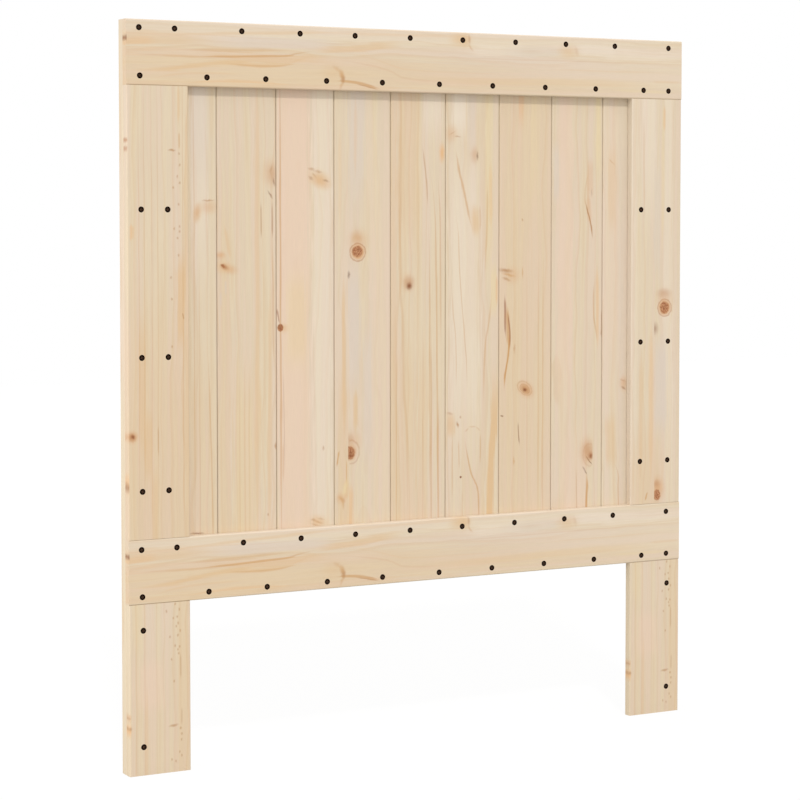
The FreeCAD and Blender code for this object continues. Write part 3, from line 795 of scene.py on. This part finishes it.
def drawStroke(add, place, board, colour, stroke, lengthwise, knotWood):
    # One stroke of a knot: an ellipse of colour, or its rim
    shape, tint, strength, x, z, halfWidth, halfHeight, *rest = stroke
    turn, *flat = rest or [0]
    across, along, reachAcross, reachAlong = turnedToGrain(lengthwise, x, z, halfWidth, halfHeight)
    if lengthwise == "x":  # a rail's axes are mirrored by their turning
        turn = -turn
    local = add("Mapping", {
        "Vector": place, "Location": (across, 0, along), "Rotation": (0, math.radians(turn), 0),
        "Scale": (reachAcross, pine["strokeDeep"], reachAlong)}, vector_type="TEXTURE")
    distance = add("VectorMath", {0: local}, operation="LENGTH")
    if shape == "rim":
        off = add("Math", {0: distance, 1: 1.0}, operation="SUBTRACT")
        distance = add("Math", {0: off}, operation="ABSOLUTE")
    holds, ends = strokeShapes[shape]
    cover = add("MapRange", {0: distance, 1: holds, 2: ends, 3: strength, 4: 0.0},
                interpolation_type="SMOOTHSTEP")
    for side in flat:
        axes = add("SeparateXYZ", {0: board})
        before, after = (0.0, 1.0) if side > 0 else (1.0, 0.0)
        kept = add("MapRange", {
            0: axes.outputs["Z" if lengthwise == "x" else "X"], 1: abs(side) - pine["flatEdge"],
            2: abs(side) + pine["flatEdge"], 3: before, 4: after})
        cover = add("Math", {0: cover, 1: kept}, operation="MULTIPLY")
    second = knotWood if shape == "core" else hexColour(pineTints[tint])
    return add("Mix", {mixFactor: cover, mixFirst: colour, mixSecond: second}, data_type="RGBA")


def dress(node, material):
    # Puts one material on a CAD node that stays
    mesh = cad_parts[node].data
    mesh.materials.clear()
    mesh.materials.append(material)


boards = [
    # node, lengthwise, figure, pith across and behind, lift of the figure, seed
    ("top_rail", "x", railFigure, (20, 60), 0.0, 1.0),
    ("bottom_rail", "x", railFigure, (20, 60), 3.0, 1.0),
    ("left_stile", "z", leftStileFigure, (120, 70), 0.0, 2.0),
    ("right_stile", "z", rightStileFigure, (-30, 80), 0.0, 3.0),
    ("left_leg_facing", "z", legFigure, (120, 70), 0.0, 2.0),
    ("right_leg_facing", "z", legFigure, (120, 70), 0.0, 2.0),
    ("left_rear_post", "z", postFigure, (80, 50), 0.0, 4.0),
    ("right_rear_post", "z", postFigure, (-40, 60), 0.0, 5.0),
]
plankPiths = [
    (20, 80), (140, 70), (30, -70), (46, 110), (-20, 60), (50, 50), (120, 90), (10, 70), (60, 80),
]
for number, (figure, pith) in enumerate(zip(plankFigures, plankPiths), start=1):
    boards.append((f"plank_{number}", "z", figure, pith, 0.0, 6.0 + number))
for node, lengthwise, figure, pith, lift, seed in boards:
    name = "planed pine, " + node.replace("_", " ")
    dress(node, pineMaterial(name, node, lengthwise, figure, pith, lift, seed))
print("boards finished:", len(boards))

# Screws

screws = {
    "headRadius": 4.3,
    "edgeRadius": 0.15,
    "coneDepth": 2.2,
    "shankRadius": 1.9,
    "length": 25.0,
    "tip": 5.0,
    "sides": 32,
    "weld": 0.001,  # points nearer than this are one
    "recessSpan": 4.7,
    "recessWidth": 1.15,
    "recessDepth": 1.5,
    "recessTaper": (0.45, 0.7),  # parts of the span and the width that are left at its bottom
    "topDepth": 0.1,  # a CAD head's flat top has its points within this depth
    "headReach": 2.2,  # and within this many radii of each other
    "forward": 0.07,  # the worn wood lets the head show this far in front of its place
    "turnSeed": 7,
    "coat": ("#070403", "#0e0805"),
    # Painted highlight: the recess is painted this paler colour, most at its middle
    "recessHighlight": "#c89a7e",
    "highlightFall": 2.2,  # the higher, the nearer the painted highlight stays to the recess's middle
    "gritSize": 0.6,  # coarser than real phosphate, so that it still shows
    "gloss": 0.06,
    "glossTint": "#b5734a",
    "roughness": (0.62, 0.78),
    "reliefDepth": 0.05,
    "reliefStrength": 0.25,
}


def blackSteel():
    # Carbon steel with a black phosphate coat: it swallows the light, and a painted highlight makes its
    # recess paler towards the middle
    material, add = startMaterial("black phosphated steel")
    seen = add("TexCoord")
    grain = noiseScale([screws["gritSize"] * millimetre] * 3)
    fine = add("Mapping", {"Vector": seen.outputs["Object"], "Scale": grain})
    grit = add("TexNoise", {"Vector": fine, "Scale": 1.0, "Detail": 2.0})
    # Painted highlight: the coat turns paler in flecks towards the recess's middle
    recessHighlight = add("Attribute", attribute_name="recessHighlight", attribute_type="GEOMETRY")
    inner = add("Math", {0: recessHighlight.outputs["Fac"], 1: screws["highlightFall"]}, operation="POWER")
    highlightCover = add("Math", {0: inner, 1: grit}, operation="MULTIPLY")
    darker, paler = screws["coat"]
    coat = add("Mix", {mixFactor: grit, mixFirst: hexColour(darker), mixSecond: hexColour(paler)},
               data_type="RGBA")
    colour = add("Mix", {mixFactor: highlightCover, mixFirst: coat, mixSecond: hexColour(screws["recessHighlight"])},
                 data_type="RGBA")
    smoothest, roughest = screws["roughness"]
    dull = add("MapRange", {0: grit, 1: noiseLow, 2: noiseHigh, 3: smoothest, 4: roughest})
    relief = add("Bump", {
        "Height": grit, "Strength": screws["reliefStrength"],
        "Distance": screws["reliefDepth"] * millimetre})
    steel = add("BsdfPrincipled", {
        "Base Color": colour, "Roughness": dull, "Normal": relief,
        "Specular IOR Level": screws["gloss"], "Specular Tint": hexColour(screws["glossTint"])})
    add("OutputMaterial", {"Surface": steel})
    return material


def screwCentres(node):
    # Each screw of a CAD node, found by the points of its head's flat top: x, depth of the top, z
    points = [Vector(vertex.co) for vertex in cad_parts[node].data.vertices]
    front = min(point.y for point in points)
    tops = [point for point in points if point.y < front + screws["topDepth"] * millimetre]
    apart = screws["headReach"] * screws["headRadius"] * millimetre
    groups = []
    for point in tops:
        near = [group for group in groups if (group[0] - point).length < apart]
        if near:
            near[0].append(point)
        else:
            groups.append([point])
    centres = []
    for group in groups:
        xs = [point.x for point in group]
        zs = [point.z for point in group]
        centres.append(Vector(((min(xs) + max(xs)) / 2, front, (min(zs) + max(zs)) / 2)))
    return centres


def oneScrew():
    # A countersunk screw at the origin, its head's top in the XZ plane and its point towards +Y
    half = bmesh.new()
    mm = millimetre
    headRadius, edge = screws["headRadius"], screws["edgeRadius"]
    shankRadius, length = screws["shankRadius"], screws["length"]
    outline = [
        (0.0, 0.0), (headRadius - edge, 0.0), (headRadius, edge),
        (shankRadius, screws["coneDepth"] + edge), (shankRadius, length - screws["tip"]), (0.0, length),
    ]
    corners = [half.verts.new((radius * mm, depth * mm, 0.0)) for radius, depth in outline]
    for start, end in zip(corners, corners[1:]):
        half.edges.new((start, end))
    bmesh.ops.spin(half, geom=half.verts[:] + half.edges[:], cent=(0, 0, 0), axis=(0, 1, 0),
                   angle=math.tau, steps=screws["sides"], use_merge=True)
    bmesh.ops.remove_doubles(half, verts=half.verts, dist=screws["weld"] * mm)
    bmesh.ops.recalc_face_normals(half, faces=half.faces)
    mesh = bpy.data.meshes.new("screw blank")
    half.to_mesh(mesh)
    half.free()
    blank = bpy.data.objects.new("screw_blank", mesh)
    bpy.context.scene.collection.objects.link(blank)

    # The cross recess is cut by two tapered bars
    arms = bmesh.new()
    span, deep, width = screws["recessSpan"], screws["recessDepth"], screws["recessWidth"]
    spanTaper, widthTaper = screws["recessTaper"]
    for turn in (0.0, math.pi / 2):
        made = bmesh.ops.create_cube(arms, size=1.0)["verts"]
        bmesh.ops.scale(arms, verts=made, vec=(span * mm, 2 * deep * mm, width * mm))
        bottom = [vertex for vertex in made if vertex.co.y > 0]
        bmesh.ops.scale(arms, verts=bottom, vec=(spanTaper, 1.0, widthTaper))
        bmesh.ops.rotate(arms, verts=made, matrix=Matrix.Rotation(turn, 3, "Y"))
    cutterMesh = bpy.data.meshes.new("recess cutter")
    arms.to_mesh(cutterMesh)
    arms.free()
    cutter = bpy.data.objects.new("recess_cutter", cutterMesh)
    bpy.context.scene.collection.objects.link(cutter)
    cut = blank.modifiers.new("recess", "BOOLEAN")
    cut.operation = "DIFFERENCE"
    cut.object = cutter
    cut.solver = "EXACT"
    cut.use_self = True
    graph = bpy.context.evaluated_depsgraph_get()
    finished = bpy.data.meshes.new_from_object(blank.evaluated_get(graph))
    bpy.data.objects.remove(blank)
    bpy.data.objects.remove(cutter)
    return finished


def placeScrews(node, pattern, material, turns):
    # One node's screws in one piece, each turned as it happened to be driven
    whole = bmesh.new()
    # Each point's share of the recess's painted highlight, from 1 at the axis to 0 at the arms' ends
    recessHighlight = whole.verts.layers.float.new("recessHighlight")
    proud = Vector((0, screws["forward"] * millimetre, 0))
    for centre in screwCentres(node):
        before = set(whole.verts)
        whole.from_mesh(pattern)
        made = [vertex for vertex in whole.verts if vertex not in before]
        for vertex in made:
            out = math.hypot(vertex.co.x, vertex.co.z) / millimetre
            vertex[recessHighlight] = max(0.0, 1.0 - out / (screws["recessSpan"] / 2))
        turn = Matrix.Rotation(turns.uniform(0, math.tau), 3, "Y")
        bmesh.ops.rotate(whole, verts=made, matrix=turn)
        bmesh.ops.translate(whole, verts=made, vec=centre - proud)
    mesh = bpy.data.meshes.new(node + "_steel")
    whole.to_mesh(mesh)
    whole.free()
    mesh.materials.append(material)
    piece = bpy.data.objects.new(node + "_steel", mesh)
    bpy.context.scene.collection.objects.link(piece)
    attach(piece, "root")
    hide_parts(node)


steel = blackSteel()
pattern = oneScrew()
turns = random.Random(screws["turnSeed"])
for node in sorted(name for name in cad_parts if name.endswith("_screws")):
    placeScrews(node, pattern, steel, turns)
print("screws placed")

# Floor, lights and camera

studio = {  # metres and degrees
    "floorSize": 14.0,
    "floorColour": "#bdbcba",         # what it throws back at the headboard
    "floorSeen": "#4a4948",           # keeps a faint shadow under the glow
    "floorGlow": 0.93,
    "ambient": 0.91,
    "keyStrength": 1.13,
    "keyAngle": 5.0,                  # how soft the key light's shadows are
    "keyHeight": 43.5,                # above the horizon
    "keyTurn": 20.0,                  # to the left of square on to the headboard
    "sideStrength": 4.6,
    "sidePlace": (-1.65, 0.0, 0.60),
    "sideSize": (0.5, 1.1),
}


def straightView(add):
    # 1 for what is seen straight, in gloss or through glass, and 0 for the light on the headboard
    rays = add("LightPath").outputs
    seen = add("Math", {0: rays["Is Camera Ray"], 1: rays["Is Glossy Ray"]}, operation="MAXIMUM")
    through = add("Math", {0: seen, 1: rays["Is Transmission Ray"]}, operation="MAXIMUM")
    return through


def paleFloor():
    # Matt white studio floor: seen straight it is white paper, and keeps a faint soft shadow
    material, add = startMaterial("white studio floor")
    matt = add("BsdfDiffuse", {"Color": hexColour(studio["floorColour"])})
    faint = add("BsdfDiffuse", {"Color": hexColour(studio["floorSeen"])})
    glow = add("Emission", {"Color": (1, 1, 1, 1), "Strength": studio["floorGlow"]})
    white = add("AddShader", {0: faint, 1: glow})
    both = add("MixShader", {0: straightView(add), 1: matt, 2: white})
    add("OutputMaterial", {"Surface": both})
    return material


flat = bmesh.new()
bmesh.ops.create_grid(flat, x_segments=1, y_segments=1, size=studio["floorSize"] / 2)
floorMesh = bpy.data.meshes.new("floor")
flat.to_mesh(floorMesh)
flat.free()
floorMesh.materials.append(paleFloor())
floor = bpy.data.objects.new("floor", floorMesh)
bpy.context.scene.collection.objects.link(floor)

world = bpy.data.worlds.new("studio")
bpy.context.scene.world = world
world.use_nodes = True
world.node_tree.nodes.clear()
add = functools.partial(addNode, world.node_tree)
level = add("MapRange", {0: straightView(add), 1: 0.0, 2: 1.0, 3: studio["ambient"], 4: 1.0})
sky = add("Background", {"Color": (1, 1, 1, 1), "Strength": level})
add("OutputWorld", {"Surface": sky})

keyLight = bpy.data.lights.new("key", "SUN")
keyLight.energy = studio["keyStrength"]
keyLight.angle = math.radians(studio["keyAngle"])
key = bpy.data.objects.new("key", keyLight)
keyTilt, keyTurn = math.radians(90 - studio["keyHeight"]), math.radians(-studio["keyTurn"])
key.rotation_euler = Euler((keyTilt, 0, keyTurn))
bpy.context.scene.collection.objects.link(key)

sideLight = bpy.data.lights.new("side", "AREA")
sideLight.energy = studio["sideStrength"]
sideLight.shape = "RECTANGLE"
sideLight.size, sideLight.size_y = studio["sideSize"]
side = bpy.data.objects.new("side", sideLight)
side.location = studio["sidePlace"]
side.rotation_euler = Euler((math.radians(90), 0, math.radians(-90)))
bpy.context.scene.collection.objects.link(side)

view = {
    "place": (-1.6589, -3.018, 0.7856),  # metres
    "turn": 28.383,                      # degrees from square-on, to the right
    "dip": 2.757,
    "lens": 105.05,
    "shift": -0.095,
    "sensor": 36.0,                      # millimetres, as the lens
}
cameraData = bpy.data.cameras.new("camera")
cameraData.lens = view["lens"]
cameraData.sensor_width = view["sensor"]
cameraData.shift_y = view["shift"]
camera = bpy.data.objects.new("camera", cameraData)
camera.location = view["place"]
camera.rotation_euler = Euler((math.radians(90 - view["dip"]), 0, math.radians(-view["turn"])))
bpy.context.scene.collection.objects.link(camera)
bpy.context.scene.camera = camera
bpy.context.scene.view_settings.view_transform = "Standard"
print("studio ready")
